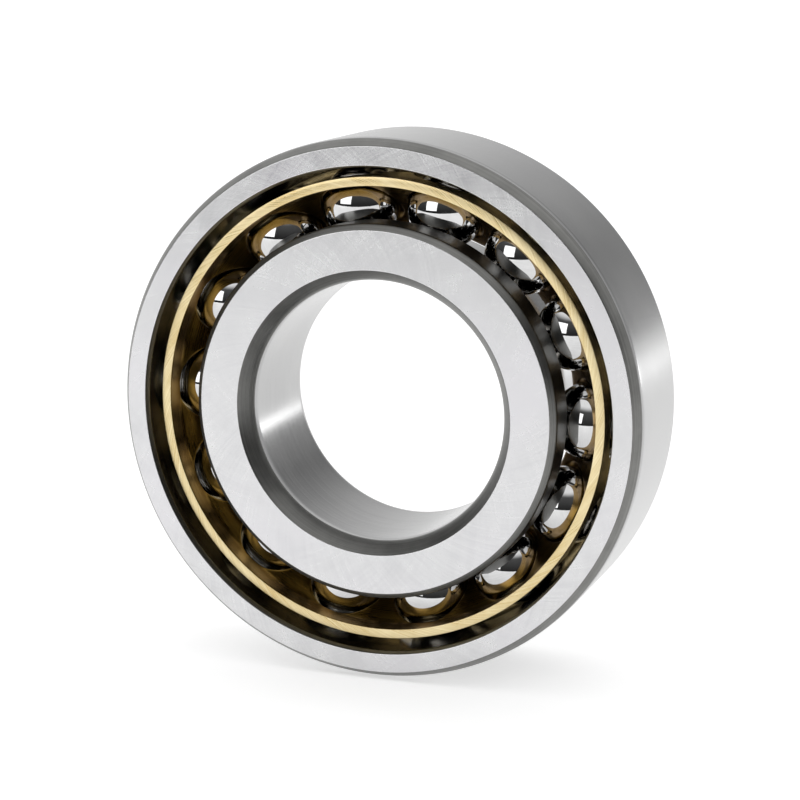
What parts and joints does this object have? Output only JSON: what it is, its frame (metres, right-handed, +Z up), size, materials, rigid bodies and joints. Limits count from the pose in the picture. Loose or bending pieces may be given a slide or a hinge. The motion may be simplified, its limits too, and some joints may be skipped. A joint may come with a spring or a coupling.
{
  "type": "angular contact ball bearing",
  "caption": "Single-row open angular contact ball bearing: a grooved outer and inner ring, a machined brass window cage and polished steel balls that carry radial and one-way thrust load.",
  "frame": {"origin": "on the bearing's axis at the middle of its width", "axes": "+Y along the bearing's axis from the open front to the back; +Z up; +X to the right seen from the front"},
  "size_m": [0.052, 0.015, 0.052],
  "materials": {
    "ground_steel": "ground and finely brushed hardened steel",
    "polished_steel": "mirror-polished hardened steel",
    "machined_brass": "turned brass, satin"
  },
  "bodies": {
    "outer_ring": {"outer_ring": "ground_steel"},
    "inner_ring": {"inner_ring": "ground_steel"},
    "cage": {"cage": "machined_brass"},
    "ball_01": {"ball_01": "polished_steel"},
    "ball_02": {"ball_02": "polished_steel"},
    "ball_03": {"ball_03": "polished_steel"},
    "ball_04": {"ball_04": "polished_steel"},
    "ball_05": {"ball_05": "polished_steel"},
    "ball_06": {"ball_06": "polished_steel"},
    "ball_07": {"ball_07": "polished_steel"},
    "ball_08": {"ball_08": "polished_steel"},
    "ball_09": {"ball_09": "polished_steel"},
    "ball_10": {"ball_10": "polished_steel"},
    "ball_11": {"ball_11": "polished_steel"},
    "ball_12": {"ball_12": "polished_steel"},
    "ball_13": {"ball_13": "polished_steel"},
    "ball_14": {"ball_14": "polished_steel"}
  },
  "joints": [
    {"name": "inner_ring_spin", "type": "hinge", "parent": "outer_ring", "child": "inner_ring", "pos_m": [0, 0, 0], "axis": [0, 1, 0], "continuous": true},
    {"name": "cage_spin", "type": "hinge", "parent": "outer_ring", "child": "cage", "pos_m": [0, 0, 0], "axis": [0, 1, 0], "continuous": true},
    {"name": "ball_01_spin", "type": "hinge", "parent": "cage", "child": "ball_01", "pos_m": [0.01944, 0, -0.00068], "axis": [-0.6424, 0.766, 0.0224], "continuous": true},
    {"name": "ball_02_spin", "type": "hinge", "parent": "cage", "child": "ball_02", "pos_m": [0.01781, 0, 0.00782], "axis": [-0.5885, 0.766, -0.2585], "continuous": true},
    {"name": "ball_03_spin", "type": "hinge", "parent": "cage", "child": "ball_03", "pos_m": [0.01265, 0, 0.01477], "axis": [-0.4181, 0.766, -0.4883], "continuous": true},
    {"name": "ball_04_spin", "type": "hinge", "parent": "cage", "child": "ball_04", "pos_m": [0.00499, 0, 0.0188], "axis": [-0.1648, 0.766, -0.6213], "continuous": true},
    {"name": "ball_05_spin", "type": "hinge", "parent": "cage", "child": "ball_05", "pos_m": [-0.00366, 0, 0.0191], "axis": [0.1211, 0.766, -0.6313], "continuous": true},
    {"name": "ball_06_spin", "type": "hinge", "parent": "cage", "child": "ball_06", "pos_m": [-0.01159, 0, 0.01562], "axis": [0.383, 0.766, -0.5162], "continuous": true},
    {"name": "ball_07_spin", "type": "hinge", "parent": "cage", "child": "ball_07", "pos_m": [-0.01722, 0, 0.00905], "axis": [0.569, 0.766, -0.2989], "continuous": true},
    {"name": "ball_08_spin", "type": "hinge", "parent": "cage", "child": "ball_08", "pos_m": [-0.01944, 0, 0.00068], "axis": [0.6424, 0.766, -0.0224], "continuous": true},
    {"name": "ball_09_spin", "type": "hinge", "parent": "cage", "child": "ball_09", "pos_m": [-0.01781, 0, -0.00782], "axis": [0.5885, 0.766, 0.2585], "continuous": true},
    {"name": "ball_10_spin", "type": "hinge", "parent": "cage", "child": "ball_10", "pos_m": [-0.01265, 0, -0.01477], "axis": [0.4181, 0.766, 0.4883], "continuous": true},
    {"name": "ball_11_spin", "type": "hinge", "parent": "cage", "child": "ball_11", "pos_m": [-0.00499, 0, -0.0188], "axis": [0.1648, 0.766, 0.6213], "continuous": true},
    {"name": "ball_12_spin", "type": "hinge", "parent": "cage", "child": "ball_12", "pos_m": [0.00366, 0, -0.0191], "axis": [-0.1211, 0.766, 0.6313], "continuous": true},
    {"name": "ball_13_spin", "type": "hinge", "parent": "cage", "child": "ball_13", "pos_m": [0.01159, 0, -0.01562], "axis": [-0.383, 0.766, 0.5162], "continuous": true},
    {"name": "ball_14_spin", "type": "hinge", "parent": "cage", "child": "ball_14", "pos_m": [0.01722, 0, -0.00905], "axis": [-0.569, 0.766, 0.2989], "continuous": true}
  ],
  "couplings": [
    {"joint": "cage_spin", "follows": "inner_ring_spin", "ratio": 0.42615},
    {"joint": "ball_01_spin", "follows": "inner_ring_spin", "ratio": -2.5368},
    {"joint": "ball_02_spin", "follows": "inner_ring_spin", "ratio": -2.5368},
    {"joint": "ball_03_spin", "follows": "inner_ring_spin", "ratio": -2.5368},
    {"joint": "ball_04_spin", "follows": "inner_ring_spin", "ratio": -2.5368},
    {"joint": "ball_05_spin", "follows": "inner_ring_spin", "ratio": -2.5368},
    {"joint": "ball_06_spin", "follows": "inner_ring_spin", "ratio": -2.5368},
    {"joint": "ball_07_spin", "follows": "inner_ring_spin", "ratio": -2.5368},
    {"joint": "ball_08_spin", "follows": "inner_ring_spin", "ratio": -2.5368},
    {"joint": "ball_09_spin", "follows": "inner_ring_spin", "ratio": -2.5368},
    {"joint": "ball_10_spin", "follows": "inner_ring_spin", "ratio": -2.5368},
    {"joint": "ball_11_spin", "follows": "inner_ring_spin", "ratio": -2.5368},
    {"joint": "ball_12_spin", "follows": "inner_ring_spin", "ratio": -2.5368},
    {"joint": "ball_13_spin", "follows": "inner_ring_spin", "ratio": -2.5368},
    {"joint": "ball_14_spin", "follows": "inner_ring_spin", "ratio": -2.5368}
  ]
}
